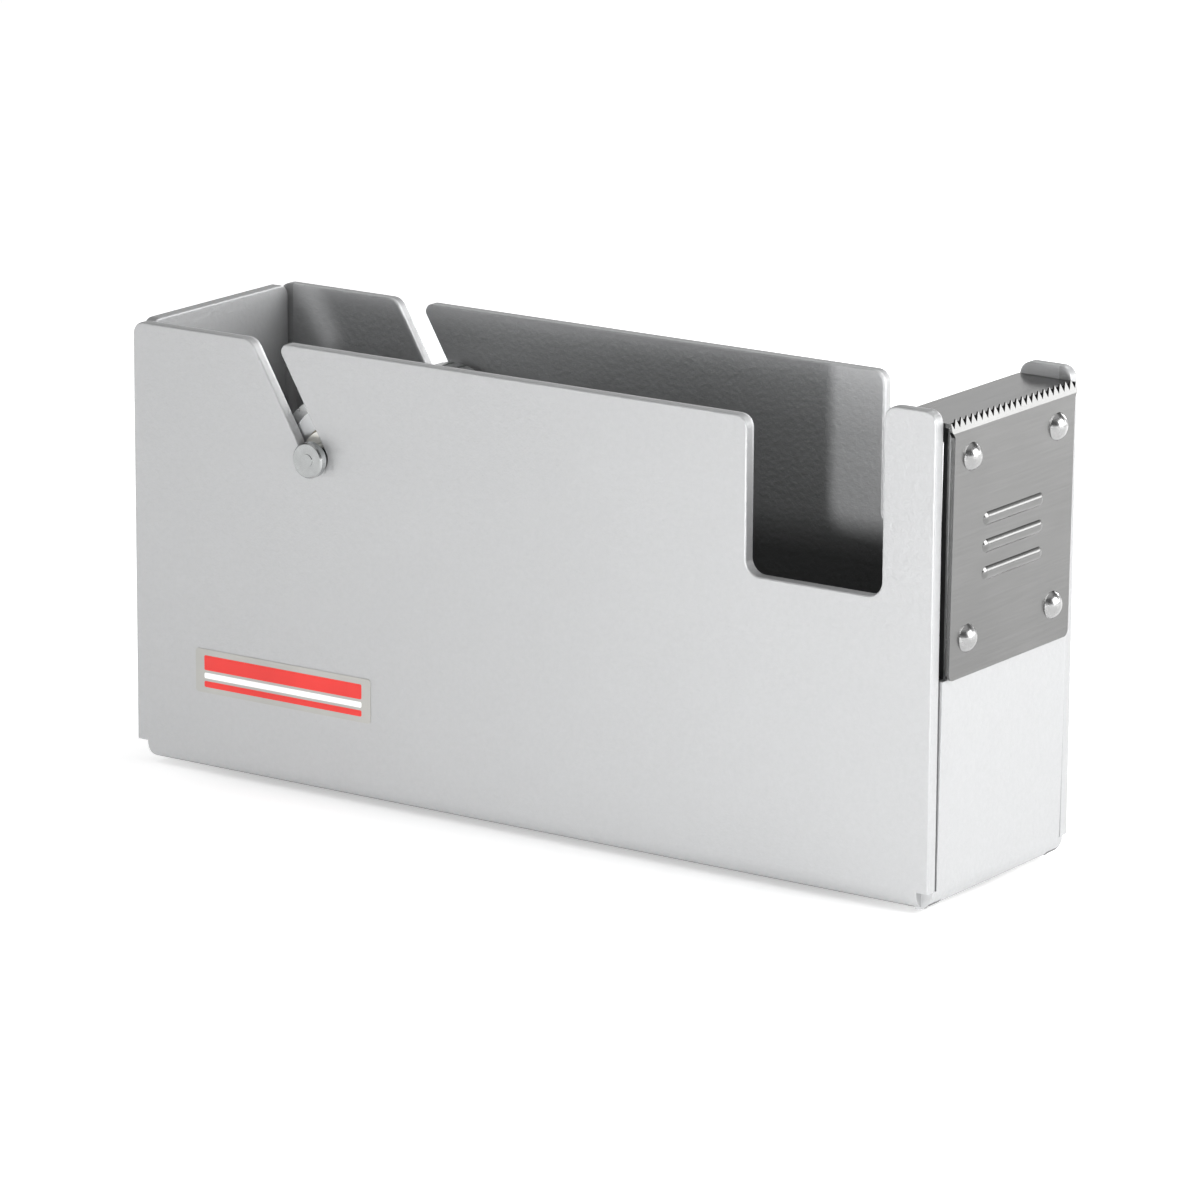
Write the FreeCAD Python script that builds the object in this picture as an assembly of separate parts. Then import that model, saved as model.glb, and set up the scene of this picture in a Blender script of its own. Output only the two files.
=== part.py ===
import FreeCAD, Part
import math
import os

from FreeCAD import Vector

# Heavy steel tape dispenser, in millimetres. It is drawn in the case's own frame: X runs from the
# rear wall's outer face (0) to the cutting end, Y is 0 in the middle of the case (the near panel is at
# -Y), and Z is 0 on the case's underside. save() then moves each piece to the row frame, whose origin
# is on the table under the middle of the whole dispenser.

# Case: one folded sheet.
LENGTH = 215.0
WIDTH = 58.0
PANEL_TOP = 103.0
EAR_TOP = 110.0
SHEET = 3.0
BEND_OUTER = 4.5
SEAM = 0.5
CORNER_NOTCH = 3.0
CORNER_R = 3.0
EDGE_ROUND = 0.45
WELD_R = 2.0
WELD_TOP = 84.0

# Hand cut-out between the reel and the ears.
WINDOW_REAR = 167.5
WINDOW_FRONT = 202.0
WINDOW_SILL = 68.0
WINDOW_R = 3.5

# Slanted axle slot, leaning to the rear, and the seat at its lower end.
SLOT_LEAN = math.radians(30.5)
SLOT_WIDTH = 6.2
SLOT_MOUTH_REAR_R = 3.6
SLOT_MOUTH_FRONT_R = 1.8
SEAT_X = 52.0
SEAT_Z = 78.0

# Front wall: it leans out a little from its bottom bend, and is narrower behind the cutter plate.
FRONT_LEAN = 0.6
FRONT_BEND_WIDTH = 54.0
NECK_WIDTH = 45.6
FLANGE_INSET = 1.0

# Cutter plate: landing between the ears, teeth along the bend, front sheet on the front wall. Heights
# here and for the rivets are those before the front wall leans.
PLATE = 1.0
LANDING_TOP = 107.2
LANDING_GAP = 0.3
FRONT_SHEET_WIDTH = 49.2
FRONT_SHEET_BOTTOM = 50.8
FRONT_SHEET_R = 1.5
SHOULDER_LOW = 104.0
SHOULDER_HIGH = 105.4
TOOTH_COUNT = 22
TOOTH_PITCH = 2.25
TOOTH_TIP = 107.9
TOOTH_ROOT = 105.9
TIP_FLAT = 0.12
GRIND_TIP = 0.3
GRIND_LOW = 105.0

# Raised beads pressed into the front sheet.
BEAD_HEIGHTS = (72.0, 78.0, 84.0)
BEAD_LENGTH = 26.0
BEAD_R = 2.2
BEAD_RISE = 0.6

# Rivets.
RIVET_SPREAD = 17.6
RIVET_HEIGHTS = (59.1, 98.8)
RIVET_HEAD_R = 3.15
RIVET_HEAD_RISE = 2.0
RIVET_SHANK_R = 1.6
RIVET_HOLE_R = 1.65
RIVET_TAIL_R = 2.6
RIVET_TAIL = 1.3

# Axle.
ROD_R = 3.0
HEAD_R = 4.1
HEAD_THICK = 2.2
HEAD_GAP = 1.2
HEAD_CHAMFER = 0.35
TENON_R = 1.5
PEEN_RISE = 0.15

# Reel on the axle, for a 25.4 mm tape core.
DRUM_R = 12.7
DRUM_LENGTH = 48.8
DRUM_WALL = 2.4
GROOVE_COUNT = 26
GROOVE_WIDTH = 0.7
GROOVE_DEPTH = 0.6
CAP_THICK = 3.0
CAP_RECESS = 0.4
BUSH_R = 4.6
BUSH_BORE_R = 3.05
BUSH_LENGTH = 9.0
BUSH_FLANGE_R = 6.2
BUSH_FLANGE = 0.5
WASHER_R = 5.6
WASHER_THICK = 0.5
WASHER_BORE_R = 3.05
WASHER_GAP = 0.15

# Feet and label.
FOOT_R = 6.5
FOOT_HEIGHT = 1.0
FOOT_CHAMFER = 0.3
FOOT_INSET_X = 20.0
FOOT_Y = 14.0
LABEL_REAR = 17.4
LABEL_FRONT = 67.1
LABEL_LOW = 18.6
LABEL_HIGH = 28.9
LABEL_R = 0.8
LABEL_THICK = 0.15

# Places worked out from the sizes above.
HALF_WIDTH = WIDTH / 2
INNER_Y = HALF_WIDTH - SHEET
WALL_HALF = INNER_Y - SEAM
FLAT_HALF = HALF_WIDTH - BEND_OUTER
FRONT_AXIS = Vector(LENGTH - BEND_OUTER, 0, BEND_OUTER)
LEAN_SIN = math.sin(math.radians(FRONT_LEAN))
LEAN_COS = math.cos(math.radians(FRONT_LEAN))
LANDING_REAR = WINDOW_FRONT - (LANDING_TOP - BEND_OUTER) * LEAN_SIN
NECK_HALF = NECK_WIDTH / 2
PLATE_FACE = LENGTH + PLATE
FLANGE_TOP = LANDING_TOP - PLATE
LANDING_HALF = INNER_Y - LANDING_GAP
DRUM_END = DRUM_LENGTH / 2
HEAD_INNER_Y = HALF_WIDTH + HEAD_GAP
HEAD_OUTER_Y = HEAD_INNER_Y + HEAD_THICK
RIVET_BALL_R = (RIVET_HEAD_R**2 + RIVET_HEAD_RISE**2) / (2 * RIVET_HEAD_RISE)
RIVET_BALL_X = PLATE_FACE + RIVET_HEAD_RISE - RIVET_BALL_R
ALONG_X = Vector(1, 0, 0)
ALONG_Y = Vector(0, 1, 0)
UP = Vector(0, 0, 1)


def leaned_point(x, z):
    """Where a point of the cutting end comes to when the front wall leans."""
    out = x - FRONT_AXIS.x
    up = z - FRONT_AXIS.z
    return FRONT_AXIS + Vector(out * LEAN_COS + up * LEAN_SIN, 0, up * LEAN_COS - out * LEAN_SIN)


# The upper rivet heads reach furthest forward.
OVERALL_LENGTH = leaned_point(RIVET_BALL_X, max(RIVET_HEIGHTS)).x + RIVET_BALL_R
ROW_SHIFT = Vector(-OVERALL_LENGTH / 2, 0, FOOT_HEIGHT)


def save(name, shape):
    """Writes one piece, moved to the row frame."""
    moved = shape.copy()
    moved.translate(ROW_SHIFT)
    moved.exportStep(os.path.join("parts", name + ".step"))


def rounded_face(corners):
    """A flat face from (point, corner radius) pairs in order; each corner is rounded by an arc."""
    edges = []
    ends = []
    count = len(corners)
    for i, (point, radius) in enumerate(corners):
        to_last = (corners[i - 1][0] - point).normalize()
        to_next = (corners[(i + 1) % count][0] - point).normalize()
        if radius == 0:
            ends.append((point, point))
            continue
        half_angle = to_last.getAngle(to_next) / 2
        reach = radius / math.tan(half_angle)
        start = point + to_last * reach
        finish = point + to_next * reach
        bisector = (to_last + to_next).normalize()
        middle = point + bisector * (radius / math.sin(half_angle) - radius)
        edges.append(Part.Arc(start, middle, finish).toShape())
        ends.append((start, finish))
    for i in range(count):
        leave = ends[i][1]
        arrive = ends[(i + 1) % count][0]
        if leave.distanceToPoint(arrive) > 1e-6:
            edges.append(Part.makeLine(leave, arrive))
    return Part.Face(Part.Wire(Part.__sortEdges__(edges)))


def block(x_low, x_high, y_low, y_high, z_low, z_high):
    size = (x_high - x_low, y_high - y_low, z_high - z_low)
    return Part.makeBox(*size, Vector(x_low, y_low, z_low))


def disc_y(radius, y_low, y_high, x=SEAT_X, z=SEAT_Z):
    """A cylinder along Y between two Y places."""
    return Part.makeCylinder(radius, y_high - y_low, Vector(x, y_low, z), ALONG_Y)


def round_rims(shape):
    """The full circles among a shape's edges."""
    return [e for e in shape.Edges if e.Closed and len(e.Vertexes) == 1]


def mirrored(shape):
    """The same piece on the other side of the case's middle plane."""
    return shape.mirror(Vector(0, 0, 0), ALONG_Y)


def leaned(shape):
    """A piece of the cutting end, leaned out with the front wall about its bottom bend."""
    return shape.copy().rotate(FRONT_AXIS, ALONG_Y, FRONT_LEAN)


def slot_point(across, along):
    """A point of the slot: across is from its centre line to the front, along is up from the seat."""
    x = SEAT_X - along * math.sin(SLOT_LEAN) + across * math.cos(SLOT_LEAN)
    z = SEAT_Z + along * math.cos(SLOT_LEAN) + across * math.sin(SLOT_LEAN)
    return Vector(x, 0, z)


def mouth_point(across):
    """Where the slot's edge would meet the panel's top edge, before the corner is rounded."""
    rise = PANEL_TOP - SEAT_Z - across * math.sin(SLOT_LEAN)
    return slot_point(across, rise / math.cos(SLOT_LEAN))


def side_panel():
    """The near panel's flat part, above the bottom bend, with its cut rim slightly rounded."""
    half_slot = SLOT_WIDTH / 2
    outline = [
        (Vector(0, 0, BEND_OUTER), 0),
        (Vector(0, 0, PANEL_TOP), CORNER_R),
        (mouth_point(-half_slot), SLOT_MOUTH_REAR_R),
        (slot_point(-half_slot, -half_slot), half_slot),
        (slot_point(half_slot, -half_slot), half_slot),
        (mouth_point(half_slot), SLOT_MOUTH_FRONT_R),
        (Vector(WINDOW_REAR, 0, PANEL_TOP), CORNER_R),
        (Vector(WINDOW_REAR, 0, WINDOW_SILL), WINDOW_R),
        (Vector(WINDOW_FRONT, 0, WINDOW_SILL), WINDOW_R),
        (Vector(WINDOW_FRONT, 0, EAR_TOP), CORNER_R),
        (Vector(LENGTH, 0, EAR_TOP), CORNER_R),
        (Vector(LENGTH, 0, BEND_OUTER), 0),
    ]
    panel = rounded_face(outline).extrude(Vector(0, SHEET, 0))
    panel.translate(Vector(0, -HALF_WIDTH, 0))
    rim = [e for e in panel.Edges if e.BoundBox.YLength < 0.01 and e.BoundBox.ZMax > BEND_OUTER + 0.1]
    return panel.makeFillet(EDGE_ROUND, rim)


def bend(radius_outer, length, corner, axis_start, along):
    """A quarter tube of sheet along a fold; corner is the direction from its axis to the fold."""
    outer = Part.makeCylinder(radius_outer, length, axis_start, along)
    inner = Part.makeCylinder(radius_outer - SHEET, length, axis_start, along)
    size = 2 * radius_outer
    reach = along * length + corner * size
    low = Vector(min(0, reach.x), min(0, reach.y), min(0, reach.z)) + axis_start
    quarter = Part.makeBox(abs(reach.x), abs(reach.y), abs(reach.z), low)
    return outer.cut(inner).common(quarter)


def rear_wall():
    corners = [
        (Vector(0, -WALL_HALF, BEND_OUTER), 0),
        (Vector(0, -WALL_HALF, PANEL_TOP), CORNER_R),
        (Vector(0, WALL_HALF, PANEL_TOP), CORNER_R),
        (Vector(0, WALL_HALF, BEND_OUTER), 0),
    ]
    wall = rounded_face(corners).extrude(Vector(SHEET, 0, 0))
    top_rim = [e for e in wall.Edges if e.BoundBox.XLength < 0.01 and e.BoundBox.ZMin > WELD_TOP]
    return wall.makeFillet(EDGE_ROUND, top_rim)


def fold_corner(depth):
    """Where the bottom's plane and the leaning front wall's plane meet, depth below the outer faces."""
    start = leaned_point(LENGTH - depth, BEND_OUTER)
    return Vector(start.x - (start.z - depth) * LEAN_SIN / LEAN_COS, 0, depth)


def front_section():
    """The front wall's section: bottom bend, leaning wall, top bend and rearward flange."""
    inner_r = BEND_OUTER - SHEET
    flange_rear = LANDING_REAR + FLANGE_INSET
    corners = [
        (Vector(FRONT_AXIS.x, 0, 0), 0),
        (fold_corner(0), BEND_OUTER),
        (leaned_point(LENGTH, FLANGE_TOP), BEND_OUTER),
        (leaned_point(flange_rear, FLANGE_TOP), 0),
        (leaned_point(flange_rear, FLANGE_TOP - SHEET), 0),
        (leaned_point(LENGTH - SHEET, FLANGE_TOP - SHEET), inner_r),
        (fold_corner(SHEET), inner_r),
        (Vector(FRONT_AXIS.x, 0, SHEET), 0),
    ]
    return rounded_face(corners)


def front_wall():
    """The front wall: wider at its bottom bend, and cut back to the neck behind the cutter plate."""
    levels = (
        (0, BEND_OUTER, FRONT_BEND_WIDTH / 2),
        (BEND_OUTER, FRONT_SHEET_BOTTOM, WALL_HALF),
        (FRONT_SHEET_BOTTOM, EAR_TOP, NECK_HALF),
    )
    pieces = []
    for low, high, half in levels:
        strip = front_section().extrude(Vector(0, 2 * half, 0))
        strip.translate(Vector(0, -half, 0))
        pieces.append(strip.common(block(WINDOW_REAR, PLATE_FACE + PLATE, -half, half, low, high)))
    return pieces


def bottom_and_bends():
    """The bottom, its bends up to the side panels, and its bend up to the rear wall."""
    bottom = block(BEND_OUTER, LENGTH - BEND_OUTER, -FLAT_HALF, FLAT_HALF, 0, SHEET)
    side_length = LENGTH - 2 * CORNER_NOTCH
    side_axis = Vector(CORNER_NOTCH, -FLAT_HALF, BEND_OUTER)
    near = bend(BEND_OUTER, side_length, Vector(0, -1, -1), side_axis, ALONG_X)
    rear_axis = Vector(BEND_OUTER, -FLAT_HALF, BEND_OUTER)
    rear = bend(BEND_OUTER, 2 * FLAT_HALF, Vector(-1, 0, -1), rear_axis, ALONG_Y)
    return [bottom, near, mirrored(near), rear]


def weld_bead(x, top):
    """A bead that closes the seam from inside, in the corner of the near panel and an end wall."""
    bead = Part.makeCylinder(WELD_R, top - BEND_OUTER, Vector(x, -INNER_Y, BEND_OUTER), UP)
    inside = block(SHEET / 2, LENGTH - SHEET / 2, -INNER_Y, INNER_Y, 0, PANEL_TOP)
    return bead.common(inside)


def body_shell():
    near = side_panel()
    pieces = [mirrored(near), rear_wall()] + front_wall() + bottom_and_bends()
    for x, top in ((SHEET, WELD_TOP), (LENGTH - SHEET, FRONT_SHEET_BOTTOM)):
        bead = weld_bead(x, top)
        pieces += [bead, mirrored(bead)]
    shell = near.multiFuse(pieces)
    for rivet_y in (-RIVET_SPREAD, RIVET_SPREAD):
        for height in RIVET_HEIGHTS:
            start = Vector(LENGTH - 2 * SHEET, rivet_y, height)
            shell = shell.cut(leaned(Part.makeCylinder(RIVET_HOLE_R, 3 * SHEET, start, ALONG_X)))
    return shell.removeSplitter().Solids[0]


def front_sheet():
    """The plate's front sheet, narrower below the shoulders beside the teeth."""
    half = FRONT_SHEET_WIDTH / 2
    corners = [
        (Vector(LENGTH, -half, FRONT_SHEET_BOTTOM), FRONT_SHEET_R),
        (Vector(LENGTH, -half, SHOULDER_LOW), 0),
        (Vector(LENGTH, -LANDING_HALF, SHOULDER_HIGH), 0),
        (Vector(LENGTH, -LANDING_HALF, LANDING_TOP), 0),
        (Vector(LENGTH, LANDING_HALF, LANDING_TOP), 0),
        (Vector(LENGTH, LANDING_HALF, SHOULDER_HIGH), 0),
        (Vector(LENGTH, half, SHOULDER_LOW), 0),
        (Vector(LENGTH, half, FRONT_SHEET_BOTTOM), FRONT_SHEET_R),
    ]
    return rounded_face(corners).extrude(Vector(PLATE, 0, 0))


def tooth_gap(y):
    """The V-shaped gap between two teeth, centred at y."""
    half = (TOOTH_PITCH - TIP_FLAT) / 2
    rise = TOOTH_TIP - TOOTH_ROOT
    over = 1.0
    wide = half * (rise + over) / rise
    corners = [
        (Vector(LENGTH, y, TOOTH_ROOT), 0),
        (Vector(LENGTH, y + wide, TOOTH_TIP + over), 0),
        (Vector(LENGTH, y - wide, TOOTH_TIP + over), 0),
    ]
    return rounded_face(corners).extrude(Vector(2 * PLATE, 0, 0))


def grind():
    """The wedge ground off the front of the teeth, which leaves them thin at the tip."""
    half = LANDING_HALF + 1
    over = 1.0
    slope = (PLATE - GRIND_TIP) / (TOOTH_TIP - GRIND_LOW)
    top = TOOTH_TIP + over
    corners = [
        (Vector(PLATE_FACE, -half, GRIND_LOW), 0),
        (Vector(PLATE_FACE - slope * (top - GRIND_LOW), -half, top), 0),
        (Vector(PLATE_FACE + over, -half, top), 0),
        (Vector(PLATE_FACE + over, -half, GRIND_LOW), 0),
    ]
    return rounded_face(corners).extrude(Vector(0, 2 * half, 0))


def bead(height, radius):
    """A bar along Y with round ends, most of it behind the sheet's face, for one side of a bead."""
    depth = BEAD_R - BEAD_RISE
    half = BEAD_LENGTH / 2 - BEAD_R
    x = PLATE_FACE - depth
    bar = Part.makeCylinder(radius, 2 * half, Vector(x, -half, height), ALONG_Y)
    for y in (-half, half):
        bar = bar.fuse(Part.makeSphere(radius, Vector(x, y, height)))
    return bar


def cutter_plate():
    """The folded plate, made upright and then leaned with the front wall."""
    landing = block(LANDING_REAR, LENGTH, -LANDING_HALF, LANDING_HALF, FLANGE_TOP, LANDING_TOP)
    teeth_half = TOOTH_COUNT * TOOTH_PITCH / 2
    tooth_strip = block(LENGTH, PLATE_FACE, -teeth_half, teeth_half, SHOULDER_HIGH, TOOTH_TIP)
    plate = front_sheet().multiFuse([landing, tooth_strip])
    plate = plate.cut(grind())
    gaps = [tooth_gap(-teeth_half + i * TOOTH_PITCH) for i in range(TOOTH_COUNT + 1)]
    plate = plate.cut(Part.makeCompound(gaps))
    front_space = block(LENGTH, PLATE_FACE + BEAD_R, -LANDING_HALF, LANDING_HALF, 0, EAR_TOP)
    for height in BEAD_HEIGHTS:
        plate = plate.fuse(bead(height, BEAD_R).common(front_space))
        plate = plate.cut(bead(height, BEAD_R - PLATE))
    for rivet_y in (-RIVET_SPREAD, RIVET_SPREAD):
        for height in RIVET_HEIGHTS:
            start = Vector(LENGTH - PLATE, rivet_y, height)
            plate = plate.cut(Part.makeCylinder(RIVET_HOLE_R, 3 * PLATE, start, ALONG_X))
    return leaned(plate.removeSplitter())


def rivet(y, height):
    """A domed rivet: head on the plate, shank, and formed tail inside the front wall."""
    ball = Part.makeSphere(RIVET_BALL_R, Vector(RIVET_BALL_X, y, height))
    front_space = block(PLATE_FACE, PLATE_FACE + RIVET_BALL_R, -HALF_WIDTH, HALF_WIDTH, 0, EAR_TOP)
    head = ball.common(front_space)
    shank_start = Vector(LENGTH - SHEET, y, height)
    shank = Part.makeCylinder(RIVET_SHANK_R, SHEET + PLATE, shank_start, ALONG_X)
    tail_start = Vector(LENGTH - SHEET - RIVET_TAIL, y, height)
    tail = Part.makeCylinder(RIVET_TAIL_R, RIVET_TAIL, tail_start, ALONG_X)
    rear_rim = [e for e in round_rims(tail) if e.BoundBox.XMax < tail_start.x + 0.01]
    tail = tail.makeFillet(RIVET_TAIL / 2, rear_rim)
    return leaned(head.multiFuse([shank, tail]))


def axle_rod():
    """The rod, with a thinner tenon at each end that passes through its head and is peened over."""
    rod = disc_y(ROD_R, -HEAD_INNER_Y, HEAD_INNER_Y)
    tenons = disc_y(TENON_R, -HEAD_OUTER_Y - PEEN_RISE, HEAD_OUTER_Y + PEEN_RISE)
    return rod.fuse(tenons)


def axle_head():
    """The near head: a thick disc with a hole for the rod's tenon."""
    head = disc_y(HEAD_R, -HEAD_OUTER_Y, -HEAD_INNER_Y)
    head = head.makeChamfer(HEAD_CHAMFER, round_rims(head))
    return head.cut(disc_y(TENON_R, -HEAD_OUTER_Y - 1, -HEAD_INNER_Y + 1))


def reel_drum():
    """A tube with narrow lengthwise grooves, which leave ribs between them."""
    drum = disc_y(DRUM_R, -DRUM_END, DRUM_END).cut(disc_y(DRUM_R - DRUM_WALL, -DRUM_END, DRUM_END))
    half = GROOVE_WIDTH / 2
    groove = block(-half, half, -DRUM_END, DRUM_END, DRUM_R - GROOVE_DEPTH, DRUM_R + 1)
    grooves = []
    for i in range(GROOVE_COUNT):
        turned = groove.copy()
        turned.rotate(Vector(0, 0, 0), ALONG_Y, 360 * i / GROOVE_COUNT)
        turned.translate(Vector(SEAT_X, 0, SEAT_Z))
        grooves.append(turned)
    return drum.cut(Part.makeCompound(grooves))


def reel_cap():
    """The near end cap, a disc inside the drum's end with a hole for its bush."""
    outer = -DRUM_END + CAP_RECESS
    cap = disc_y(DRUM_R - DRUM_WALL, outer, outer + CAP_THICK)
    return cap.cut(disc_y(BUSH_R, outer - 1, outer + CAP_THICK + 1))


def reel_bush():
    """The near bush: a sleeve through the cap, with a flange outside it."""
    outer = -DRUM_END + CAP_RECESS
    sleeve = disc_y(BUSH_R, outer, outer + BUSH_LENGTH)
    flange = disc_y(BUSH_FLANGE_R, outer - BUSH_FLANGE, outer)
    bore = disc_y(BUSH_BORE_R, outer - BUSH_FLANGE - 1, outer + BUSH_LENGTH + 1)
    return sleeve.fuse(flange).cut(bore)


def spacer_washer():
    """The near washer, between the bush's flange and the side panel."""
    outer = -INNER_Y + WASHER_GAP
    washer = disc_y(WASHER_R, outer, outer + WASHER_THICK)
    return washer.cut(disc_y(WASHER_BORE_R, outer - 1, outer + WASHER_THICK + 1))


def foot(x, y):
    disc = Part.makeCylinder(FOOT_R, FOOT_HEIGHT, Vector(x, y, -FOOT_HEIGHT), UP)
    lower_rim = [e for e in round_rims(disc) if e.BoundBox.ZMax < -FOOT_HEIGHT + 0.01]
    return disc.makeChamfer(FOOT_CHAMFER, lower_rim)


def label():
    y = -HALF_WIDTH - LABEL_THICK
    corners = [
        (Vector(LABEL_REAR, y, LABEL_LOW), LABEL_R),
        (Vector(LABEL_REAR, y, LABEL_HIGH), LABEL_R),
        (Vector(LABEL_FRONT, y, LABEL_HIGH), LABEL_R),
        (Vector(LABEL_FRONT, y, LABEL_LOW), LABEL_R),
    ]
    return rounded_face(corners).extrude(Vector(0, LABEL_THICK, 0))


def main():
    os.makedirs("parts", exist_ok=True)
    save("body_shell", body_shell())
    save("cutter_plate", cutter_plate())
    rivet_places = [(y, z) for z in RIVET_HEIGHTS for y in (-RIVET_SPREAD, RIVET_SPREAD)]
    for number, (y, height) in enumerate(rivet_places, start=1):
        save(f"cutter_rivet_{number}", rivet(y, height))
    save("axle_rod", axle_rod())
    save("reel_drum", reel_drum())
    pairs = {
        "axle_head": axle_head(),
        "reel_cap": reel_cap(),
        "reel_bush": reel_bush(),
        "spacer_washer": spacer_washer(),
    }
    for name, near in pairs.items():
        save(name + "_near", near)
        save(name + "_far", mirrored(near))
    foot_places = [(x, y) for x in (FOOT_INSET_X, LENGTH - FOOT_INSET_X) for y in (-FOOT_Y, FOOT_Y)]
    for number, (x, y) in enumerate(foot_places, start=1):
        save(f"foot_{number}", foot(x, y))
    save("label", label())


main()
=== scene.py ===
import math

import bpy
from mathutils import Matrix, Vector


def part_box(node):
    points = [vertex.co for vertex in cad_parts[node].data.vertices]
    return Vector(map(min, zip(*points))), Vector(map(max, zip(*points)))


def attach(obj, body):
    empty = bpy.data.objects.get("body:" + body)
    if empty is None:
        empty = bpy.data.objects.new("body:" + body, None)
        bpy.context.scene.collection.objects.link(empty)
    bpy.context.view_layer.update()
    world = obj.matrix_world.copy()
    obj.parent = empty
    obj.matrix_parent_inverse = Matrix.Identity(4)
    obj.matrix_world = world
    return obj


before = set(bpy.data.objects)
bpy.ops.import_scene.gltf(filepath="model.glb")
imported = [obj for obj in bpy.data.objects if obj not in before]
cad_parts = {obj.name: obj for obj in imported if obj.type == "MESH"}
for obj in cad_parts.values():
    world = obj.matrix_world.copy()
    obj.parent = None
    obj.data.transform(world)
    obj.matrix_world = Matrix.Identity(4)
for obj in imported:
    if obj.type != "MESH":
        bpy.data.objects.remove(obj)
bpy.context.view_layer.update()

# Steel tape dispenser: camera, studio, and a procedural material for each kind of surface. Lengths
# are metres in the CAD row frame: +X to the cutting end, the labelled panel at -Y, the table at Z = 0.

MM = 0.001

# Camera: a long lens, a little above the object. AZIMUTH turns from the labelled panel's side (-Y)
# towards the cutting end.
AIM = Vector((0.11, 0.0, 48.8)) * MM
AZIMUTH = math.radians(34.55)
ELEVATION = math.radians(14.28)
ROLL = math.radians(0.33)
DISTANCE = 1.4866
LENS_MM = 199.04
SENSOR_MM = 36.0
CLIP_NEAR = 0.05
CLIP_FAR = 50.0

# Softboxes: where each one stands, as azimuth from +X towards +Y, elevation and distance from AIM,
# then its width and height in metres and its power in watts.
BACK_BOX = {"azimuth": 19.0, "elevation": 21.0, "distance": 1.3, "size": (0.9, 0.7), "power": 14.2}
SIDE_BOX = {"azimuth": 90.0, "elevation": 16.0, "distance": 0.6, "size": (0.2, 0.2), "power": 1.4}
KEY_BOX = {"azimuth": -69.2, "elevation": 3.6, "distance": 0.46, "size": (0.025, 0.05), "power": 1.1}
EDGE_BOX = {"azimuth": 53.0, "elevation": 8.0, "distance": 0.8, "size": (0.3, 0.14), "power": 0.55}
BOXES = {"back_box": BACK_BOX, "side_box": SIDE_BOX, "key_box": KEY_BOX, "edge_box": EDGE_BOX}

# Surround: brightness near the horizon on the camera's side and behind, all over, and overhead.
WORLD_FRONT = 3.7
WORLD_BACK = 0.8
WORLD_ALL = 0.14
WORLD_TOP = 0.6

# Where those levels change, as shares of the direction across (Y) and up (Z).
WORLD_TURN = (-0.2, 0.3)
FRONT_FADE = (0.0, 0.14)
BACK_FADE = (0.28, 0.48)
TOP_FADE = (0.7, 0.9)

# Floor: its half size, its white, its glow, how far out from the case the glow is full, and how far
# in it is gone; the glow's fade near the case is a painted shadow.
FLOOR_HALF = 12.0
FLOOR_WHITE = 0.9
FLOOR_GLOW = 0.57
PAINTED_SHADOW_END = 20.0 * MM
PAINTED_SHADOW_DARKEST = -40.0 * MM

# Label print, from the label's rear lower corner, as shares of its length and height.
RED_BLOCK = (0.05, 0.52, 0.95, 0.86)
WHITE_BAR = (0.05, 0.33, 0.95, 0.46)
RED_BAR = (0.05, 0.13, 0.95, 0.27)
PRINT_THICK = 0.03 * MM
PRINT_CORNER = 0.4 * MM

# Powder coat: its colour, the scales of its lumps, grain and clouds, and how deep the lumps are.
COAT_COLOR = (0.44, 0.444, 0.449)
COAT_LUMPS = 760.0
COAT_GRAIN = 2600.0
COAT_CLOUDS = 14.0
COAT_DEPTH = 0.12 * MM
EDGE_RADIUS = 0.6 * MM
# Painted highlight: how much paler the coat is made along its edges.
EDGE_HIGHLIGHT = 1.12

# Cosine between a face and its rounded normal: on flat faces, and where an edge counts in full.
EDGE_NONE = 0.995
EDGE_FULL = 0.93

# Painted light and shade on the coat inside the case, as shares of its colour: painted light paler at
# the rim, plain at mid height, painted shade darker low down.
RIM_PAINTED_LIGHT = 1.35
RIM_HIGH = 103.0 * MM
RIM_LOW = 89.0 * MM
DEEP_PAINTED_SHADE = 0.4
DEEP_HIGH = 70.0 * MM
DEEP_LOW = 60.0 * MM

# Painted shade on the powder coat in the narrow gaps beside the front wall's neck: its share, and how
# far the gaps reach.
GAP_PAINTED_SHADE = 0.15
GAP_LENGTH = 8.0 * MM
GAP_WIDTH = 7.0 * MM

# Margin that keeps the inside's painted light and shade off the outer faces.
SKIN = 2.0 * MM

# Noise rarely leaves this range, so it is what gets stretched to a material's own range.
NOISE_LOW = 0.3
NOISE_HIGH = 0.7


# Node helpers

def new_material(name):
    """A material with its Principled shader."""
    material = bpy.data.materials.new(name)
    material.use_nodes = True
    shader = material.node_tree.nodes["Principled BSDF"]
    return material, shader


def add(material, kind, inputs=None, **settings):
    """Adds a node; inputs are socket values or, where they are sockets, links."""
    node = material.node_tree.nodes.new(kind)
    for key, value in settings.items():
        setattr(node, key, value)
    for key, value in (inputs or {}).items():
        plug(material, value, node.inputs[key])
    return node


def plug(material, value, socket):
    if isinstance(value, bpy.types.NodeSocket):
        material.node_tree.links.new(value, socket)
    else:
        socket.default_value = value


def object_place(material, scale=(1, 1, 1)):
    """The surface point in the row frame, stretched by scale."""
    place = add(material, "ShaderNodeTexCoord").outputs["Object"]
    mapping = add(material, "ShaderNodeMapping", {"Vector": place, "Scale": scale})
    return mapping.outputs["Vector"]


def noise(material, vector, scale, detail=2.0, roughness=0.5):
    inputs = {"Vector": vector, "Scale": scale, "Detail": detail, "Roughness": roughness}
    return add(material, "ShaderNodeTexNoise", inputs).outputs["Fac"]


def remap(material, value, low, high, to_low, to_high):
    """value from low..high to to_low..to_high, held at the ends."""
    inputs = {
        "Value": value,
        "From Min": low,
        "From Max": high,
        "To Min": to_low,
        "To Max": to_high,
    }
    return add(material, "ShaderNodeMapRange", inputs).outputs["Result"]


def math_node(material, operation, first, second=0.0):
    return add(material, "ShaderNodeMath", {0: first, 1: second}, operation=operation).outputs[0]


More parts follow.
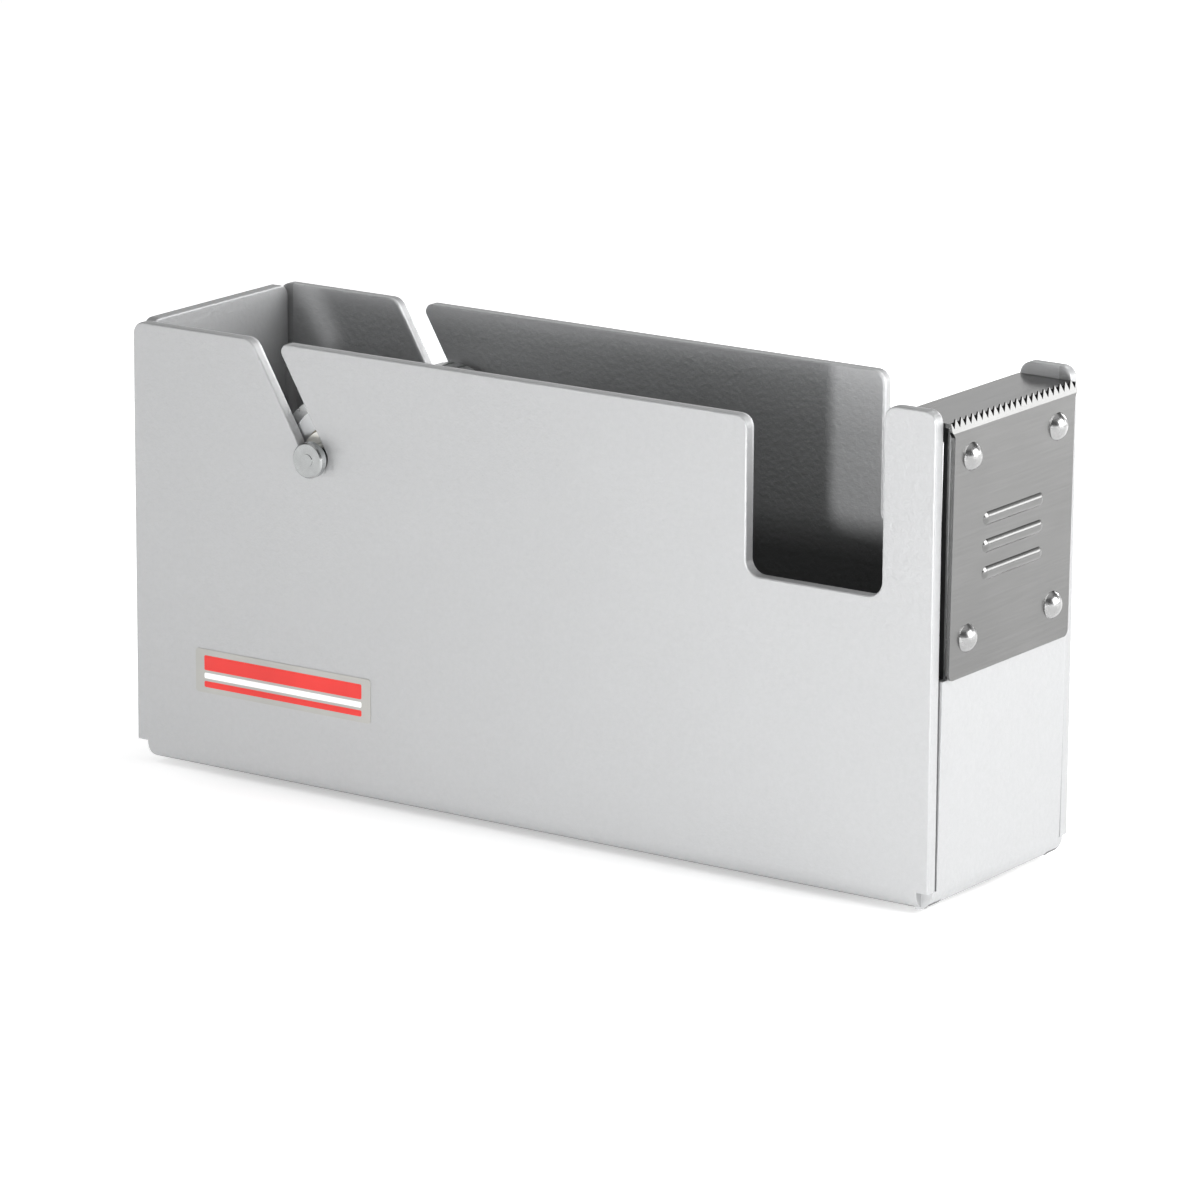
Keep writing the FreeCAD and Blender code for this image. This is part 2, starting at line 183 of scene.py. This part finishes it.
def tinted(material, color, factor):
    """A colour multiplied by a changing factor."""
    scaled = add(
        material, "ShaderNodeVectorMath", {0: color, "Scale": factor}, operation="SCALE"
    )
    return scaled.outputs["Vector"]


def bump(material, height, depth):
    inputs = {"Height": height, "Distance": depth, "Strength": 1.0}
    return add(material, "ShaderNodeBump", inputs).outputs["Normal"]


def spread(material, value, low, high):
    """A noise stretched to low..high."""
    return remap(material, value, NOISE_LOW, NOISE_HIGH, low, high)


def below(material, value, limit):
    return math_node(material, "LESS_THAN", value, limit)


def above(material, value, limit):
    return math_node(material, "GREATER_THAN", value, limit)


def both(material, first, second):
    """The product: of two 0-or-1 masks, where both are 1."""
    return math_node(material, "MULTIPLY", first, second)


def edge_mask(material, radius):
    """1 on rounded and sharp outer edges within radius, 0 on flat faces."""
    bevel = add(material, "ShaderNodeBevel", {"Radius": radius}, samples=4).outputs["Normal"]
    flat = add(material, "ShaderNodeNewGeometry").outputs["True Normal"]
    dot = add(material, "ShaderNodeVectorMath", {0: bevel, 1: flat}, operation="DOT_PRODUCT")
    return remap(material, dot.outputs["Value"], EDGE_NONE, EDGE_FULL, 0.0, 1.0)


# Materials

def painted_inside_light_and_shade(material):
    """Painted light and shade on the coat: paler at the case's inner rim, darker deep inside and
    beside the neck.
    """
    low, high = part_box("body_shell")
    half = (high - low) / 2
    place = add(material, "ShaderNodeTexCoord").outputs["Object"]
    offset = add(material, "ShaderNodeVectorMath", {0: place, 1: (low + high) / 2},
                 operation="SUBTRACT").outputs["Vector"]
    along, across, _ = add(material, "ShaderNodeSeparateXYZ", {"Vector": offset}).outputs
    height = add(material, "ShaderNodeSeparateXYZ", {"Vector": place}).outputs["Z"]
    across = math_node(material, "ABSOLUTE", across)
    between_panels = below(material, across, half.y - SKIN)
    between_ends = below(material, math_node(material, "ABSOLUTE", along), half.x - 2 * SKIN)
    inside = both(material, between_panels, between_ends)
    # Painted light: the coat turns paler towards the inner rim.
    rim = remap(material, height, RIM_LOW, RIM_HIGH, 0.0, RIM_PAINTED_LIGHT - 1)
    # Painted shade: the coat turns darker deep inside.
    deep = remap(material, height, DEEP_LOW, DEEP_HIGH, DEEP_PAINTED_SHADE - 1, 0.0)
    change = math_node(material, "ADD", rim, deep)
    coat = math_node(material, "ADD", 1.0, both(material, inside, change))
    # Painted shade: the coat is darker in the gaps beside the front wall's neck.
    near_front = above(material, along, half.x - GAP_LENGTH)
    near_front = both(material, near_front, below(material, along, half.x - SKIN))
    near_panel = above(material, across, half.y - GAP_WIDTH)
    near_panel = both(material, near_panel, between_panels)
    under_plate = below(material, height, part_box("cutter_plate")[1].z - SKIN)
    gap = both(material, both(material, near_front, under_plate), near_panel)
    loss = both(material, gap, 1 - GAP_PAINTED_SHADE)
    return both(material, coat, math_node(material, "SUBTRACT", 1.0, loss))


def powder_coat():
    """Silver metallic powder coat: fine lumps, finer grain, faint clouds; painted edge highlight;
    painted inside light and shade.
    """
    material, shader = new_material("silver_powder_coat")
    place = object_place(material)
    lumps = noise(material, place, COAT_LUMPS, 2.5)
    grain = noise(material, place, COAT_GRAIN, 2.0)
    cloud = noise(material, place, COAT_CLOUDS, 3.0)
    tone = both(material, spread(material, lumps, 0.985, 1.015), spread(material, cloud, 0.985, 1.015))
    # Painted highlight: the coat is paler along its edges.
    edge = remap(material, edge_mask(material, EDGE_RADIUS), 0.0, 1.0, 1.0, EDGE_HIGHLIGHT)
    # Painted light and shade inside the case.
    tone = both(material, both(material, tone, edge), painted_inside_light_and_shade(material))
    plug(material, tinted(material, COAT_COLOR, tone), shader.inputs["Base Color"])
    plug(material, spread(material, grain, 0.40, 0.52), shader.inputs["Roughness"])
    height = math_node(material, "ADD", lumps, math_node(material, "MULTIPLY", grain, 0.35))
    plug(material, bump(material, height, COAT_DEPTH), shader.inputs["Normal"])
    shader.inputs["Metallic"].default_value = 0.45
    return material


def brushed_metal(name, color, roughness, stretch, depth):
    """Metal with a grain: stretch is how many times finer the grain is along X, Y and Z."""
    material, shader = new_material(name)
    grain = noise(material, object_place(material, stretch), 1.0, 3.0, 0.6)
    smear = noise(material, object_place(material), 45.0, 3.0)
    tone = both(material, spread(material, grain, 0.93, 1.06), spread(material, smear, 0.96, 1.04))
    plug(material, tinted(material, color, tone), shader.inputs["Base Color"])
    plug(material, spread(material, grain, *roughness), shader.inputs["Roughness"])
    plug(material, bump(material, grain, depth), shader.inputs["Normal"])
    shader.inputs["Metallic"].default_value = 1.0
    return material


def turned_metal(name, color, roughness, axis_point, pitch):
    """Metal turned on a lathe about Y: fine rings round the axle's line."""
    material, shader = new_material(name)
    place = object_place(material)
    offset = add(material, "ShaderNodeVectorMath", {0: place, 1: axis_point}, operation="SUBTRACT")
    across = add(
        material,
        "ShaderNodeVectorMath",
        {0: offset.outputs["Vector"], 1: (1, 0, 1)},
        operation="MULTIPLY",
    )
    radius = add(
        material, "ShaderNodeVectorMath", {0: across.outputs["Vector"]}, operation="LENGTH"
    ).outputs["Value"]
    rings = math_node(material, "SINE", math_node(material, "MULTIPLY", radius, 2 * math.pi / pitch))
    smear = noise(material, place, 500.0, 3.0)
    tone = spread(material, smear, 0.94, 1.06)
    plug(material, tinted(material, color, tone), shader.inputs["Base Color"])
    plug(material, spread(material, smear, *roughness), shader.inputs["Roughness"])
    plug(material, bump(material, rings, 0.004 * MM), shader.inputs["Normal"])
    shader.inputs["Metallic"].default_value = 1.0
    return material


def grained_plastic(name, color, roughness, scale, depth):
    """Moulded or punched plastic, rubber or film with a fine grain."""
    material, shader = new_material(name)
    place = object_place(material)
    grain = noise(material, place, scale, 3.0)
    dust = noise(material, place, scale / 12, 3.0)
    tone = spread(material, dust, 0.94, 1.06)
    plug(material, tinted(material, color, tone), shader.inputs["Base Color"])
    plug(material, spread(material, dust, *roughness), shader.inputs["Roughness"])
    plug(material, bump(material, grain, depth), shader.inputs["Normal"])
    return material


def dress(node, material):
    """Gives a CAD node its material."""
    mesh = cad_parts[node].data
    mesh.materials.clear()
    mesh.materials.append(material)


def dress_all():
    """Makes the materials and gives one to every CAD node."""
    low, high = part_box("axle_rod")
    axis_point = (low + high) / 2
    rivet = brushed_metal("rivet_steel", (0.38, 0.38, 0.38), roughness=(0.22, 0.30),
                          stretch=(900, 900, 900), depth=0.002 * MM)
    plate = brushed_metal("brushed_stainless", (0.188, 0.188, 0.186), roughness=(0.16, 0.24),
                          stretch=(2500, 60, 2500), depth=0.003 * MM)
    axle = turned_metal("axle_steel", (0.42, 0.43, 0.43), roughness=(0.16, 0.24),
                        axis_point=axis_point, pitch=0.25 * MM)
    drum = brushed_metal("reel_aluminium", (0.72, 0.73, 0.73), roughness=(0.34, 0.48),
                         stretch=(2500, 30, 2500), depth=0.004 * MM)
    brass = turned_metal("bush_brass", (0.40, 0.36, 0.29), roughness=(0.28, 0.42),
                         axis_point=axis_point, pitch=0.2 * MM)
    cap = grained_plastic("cap_plastic", (0.62, 0.63, 0.64), roughness=(0.5, 0.62),
                          scale=2500.0, depth=0.01 * MM)
    nylon = grained_plastic("washer_nylon", (0.80, 0.79, 0.74), roughness=(0.45, 0.6),
                            scale=2500.0, depth=0.006 * MM)
    rubber = grained_plastic("foot_rubber", (0.035, 0.035, 0.038), roughness=(0.7, 0.85),
                             scale=1800.0, depth=0.03 * MM)
    film = grained_plastic("label_film", (0.385, 0.38, 0.36), roughness=(0.28, 0.36),
                           scale=900.0, depth=0.004 * MM)
    dress("body_shell", powder_coat())
    dress("cutter_plate", plate)
    dress("axle_rod", axle)
    dress("reel_drum", drum)
    dress("label", film)
    for number in range(1, 5):
        dress(f"cutter_rivet_{number}", rivet)
        dress(f"foot_{number}", rubber)
    for side in ("near", "far"):
        dress("axle_head_" + side, axle)
        dress("reel_cap_" + side, cap)
        dress("reel_bush_" + side, brass)
        dress("spacer_washer_" + side, nylon)


# Label print

def rounded_plate(name, low, high, y, thick, corner, segments=6):
    """A thin upright plate with rounded corners between two XZ corners; its face looks to -Y."""
    centres = (
        (high.x - corner, high.z - corner, 0),
        (low.x + corner, high.z - corner, 90),
        (low.x + corner, low.z + corner, 180),
        (high.x - corner, low.z + corner, 270),
    )
    rim = []
    for x, z, start in centres:
        for step in range(segments + 1):
            angle = math.radians(start + 90 * step / segments)
            rim.append((x + corner * math.cos(angle), z + corner * math.sin(angle)))
    count = len(rim)
    points = [(x, y - thick, z) for x, z in rim] + [(x, y, z) for x, z in rim]
    faces = [tuple(range(count)), tuple(range(2 * count - 1, count - 1, -1))]
    for i in range(count):
        j = (i + 1) % count
        faces.append((i, i + count, j + count, j))
    mesh = bpy.data.meshes.new(name)
    mesh.from_pydata(points, [], faces)
    mesh.update()
    plate = bpy.data.objects.new(name, mesh)
    bpy.context.scene.collection.objects.link(plate)
    return plate


def label_print():
    """The label's print: a plain red block over two plain bars, all the same length, no lettering."""
    low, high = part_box("label")
    length = high.x - low.x
    height = high.z - low.z
    red = grained_plastic("print_red", (0.68, 0.026, 0.02), roughness=(0.28, 0.36),
                          scale=900.0, depth=0.003 * MM)
    white = grained_plastic("print_white", (0.85, 0.85, 0.84), roughness=(0.3, 0.4),
                            scale=900.0, depth=0.003 * MM)
    prints = (
        ("label_red_block", RED_BLOCK, red),
        ("label_red_bar", RED_BAR, red),
        ("label_white_bar", WHITE_BAR, white),
    )
    for name, (x0, z0, x1, z1), material in prints:
        corner_low = Vector((low.x + x0 * length, low.y, low.z + z0 * height))
        corner_high = Vector((low.x + x1 * length, low.y, low.z + z1 * height))
        piece = rounded_plate(name, corner_low, corner_high, low.y, PRINT_THICK, PRINT_CORNER)
        piece.data.materials.append(material)
        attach(piece, "case")


# Studio

def floor_glow_with_painted_shadow(material):
    """The floor's glow, which fades out under the object: a painted shadow round its foot."""
    low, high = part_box("body_shell")
    middle = (low + high) / 2
    half = ((high.x - low.x) / 2, (high.y - low.y) / 2, 1.0)
    place = add(material, "ShaderNodeTexCoord").outputs["Object"]
    steps = (("SUBTRACT", (middle.x, middle.y, 0.0)), ("ABSOLUTE", None), ("SUBTRACT", half),
             ("MAXIMUM", (PAINTED_SHADOW_DARKEST, PAINTED_SHADOW_DARKEST, 0.0)))
    for operation, value in steps:
        inputs = {0: place} if value is None else {0: place, 1: value}
        node = add(material, "ShaderNodeVectorMath", inputs, operation=operation)
        place = node.outputs["Vector"]
    shifted = add(material, "ShaderNodeVectorMath", {0: place, 1: (-PAINTED_SHADOW_DARKEST, -PAINTED_SHADOW_DARKEST, 0.0)},
                  operation="ADD").outputs["Vector"]
    reach = add(material, "ShaderNodeVectorMath", {0: shifted}, operation="LENGTH").outputs["Value"]
    # Painted shadow: the glow rises from none under the case to full beyond it.
    ramp = add(material, "ShaderNodeMapRange", {
        "Value": reach,
        "From Min": 0.0,
        "From Max": PAINTED_SHADOW_END - PAINTED_SHADOW_DARKEST,
        "To Min": 0.0,
        "To Max": FLOOR_GLOW,
    }, interpolation_type="SMOOTHSTEP")
    return ramp.outputs["Result"]


def make_floor():
    """A white table top that glows a little, with a painted shadow where the glow fades close to the
    object.
    """
    corners = [(x * FLOOR_HALF, y * FLOOR_HALF, 0) for x, y in ((-1, -1), (1, -1), (1, 1), (-1, 1))]
    mesh = bpy.data.meshes.new("floor")
    mesh.from_pydata(corners, [], [(0, 1, 2, 3)])
    floor = bpy.data.objects.new("floor", mesh)
    bpy.context.scene.collection.objects.link(floor)
    material, shader = new_material("floor")
    shader.inputs["Base Color"].default_value = (FLOOR_WHITE, FLOOR_WHITE, FLOOR_WHITE, 1)
    shader.inputs["Roughness"].default_value = 0.9
    shader.inputs["Specular IOR Level"].default_value = 0.0
    shader.inputs["Emission Color"].default_value = (1, 1, 1, 1)
    plug(material, floor_glow_with_painted_shadow(material), shader.inputs["Emission Strength"])
    floor.data.materials.append(material)


def make_box_light(name, azimuth, elevation, distance, size, power):
    """A softbox that looks at AIM."""
    light = bpy.data.lights.new(name, "AREA")
    light.shape = "RECTANGLE"
    light.size, light.size_y = size
    light.energy = power
    box = bpy.data.objects.new(name, light)
    bpy.context.scene.collection.objects.link(box)
    a, e = math.radians(azimuth), math.radians(elevation)
    towards = Vector((math.cos(a) * math.cos(e), math.sin(a) * math.cos(e), math.sin(e)))
    box.rotation_mode = "QUATERNION"
    box.rotation_quaternion = towards.to_track_quat("Z", "Y")
    box.location = AIM + towards * distance
    box.visible_camera = False


def world_ramp(tree, value, fade, to_low, to_high):
    """A smooth step between two levels, over the fade's range of value."""
    node = tree.nodes.new("ShaderNodeMapRange")
    node.interpolation_type = "SMOOTHSTEP"
    levels = (*fade, to_low, to_high)
    for key, level in zip(("From Min", "From Max", "To Min", "To Max"), levels):
        node.inputs[key].default_value = level
    tree.links.new(value, node.inputs["Value"])
    return node.outputs["Result"]


def world_math(tree, operation, first, second):
    node = tree.nodes.new("ShaderNodeMath")
    node.operation = operation
    tree.links.new(first, node.inputs[0])
    tree.links.new(second, node.inputs[1])
    return node.outputs[0]


def make_world():
    """A surround that is bright low down on the camera's side, softer behind and overhead."""
    world = bpy.data.worlds.new("studio")
    world.use_nodes = True
    bpy.context.scene.world = world
    tree = world.node_tree
    split = tree.nodes.new("ShaderNodeSeparateXYZ")
    place = tree.nodes.new("ShaderNodeTexCoord").outputs["Generated"]
    tree.links.new(place, split.inputs["Vector"])
    across, up = split.outputs["Y"], split.outputs["Z"]
    behind = world_ramp(tree, across, WORLD_TURN, 0.0, WORLD_BACK)
    behind = world_math(tree, "MULTIPLY", behind, world_ramp(tree, up, BACK_FADE, 1.0, 0.0))
    before = world_ramp(tree, across, WORLD_TURN, WORLD_FRONT, 0.0)
    before = world_math(tree, "MULTIPLY", before, world_ramp(tree, up, FRONT_FADE, 1.0, 0.0))
    overhead = world_ramp(tree, up, TOP_FADE, WORLD_ALL, WORLD_ALL + WORLD_TOP)
    level = world_math(tree, "ADD", world_math(tree, "ADD", behind, before), overhead)
    background = tree.nodes["Background"]
    background.inputs["Color"].default_value = (1, 1, 1, 1)
    tree.links.new(level, background.inputs["Strength"])


def make_camera():
    data = bpy.data.cameras.new("camera")
    data.lens = LENS_MM
    data.sensor_width = SENSOR_MM
    data.clip_start = CLIP_NEAR
    data.clip_end = CLIP_FAR
    camera = bpy.data.objects.new("camera", data)
    bpy.context.scene.collection.objects.link(camera)
    level = math.cos(ELEVATION)
    back = Vector((math.sin(AZIMUTH) * level, -math.cos(AZIMUTH) * level, math.sin(ELEVATION)))
    camera.location = AIM + back * DISTANCE
    turn = (-back).to_track_quat("-Z", "Y").to_matrix().to_4x4()
    camera.rotation_mode = "QUATERNION"
    camera.rotation_quaternion = (turn @ Matrix.Rotation(ROLL, 4, "Z")).to_quaternion()
    bpy.context.scene.camera = camera


def make_studio():
    make_camera()
    make_floor()
    make_world()
    for name, box in BOXES.items():
        make_box_light(name, **box)
    bpy.context.scene.view_settings.view_transform = "Standard"


dress_all()
label_print()
make_studio()
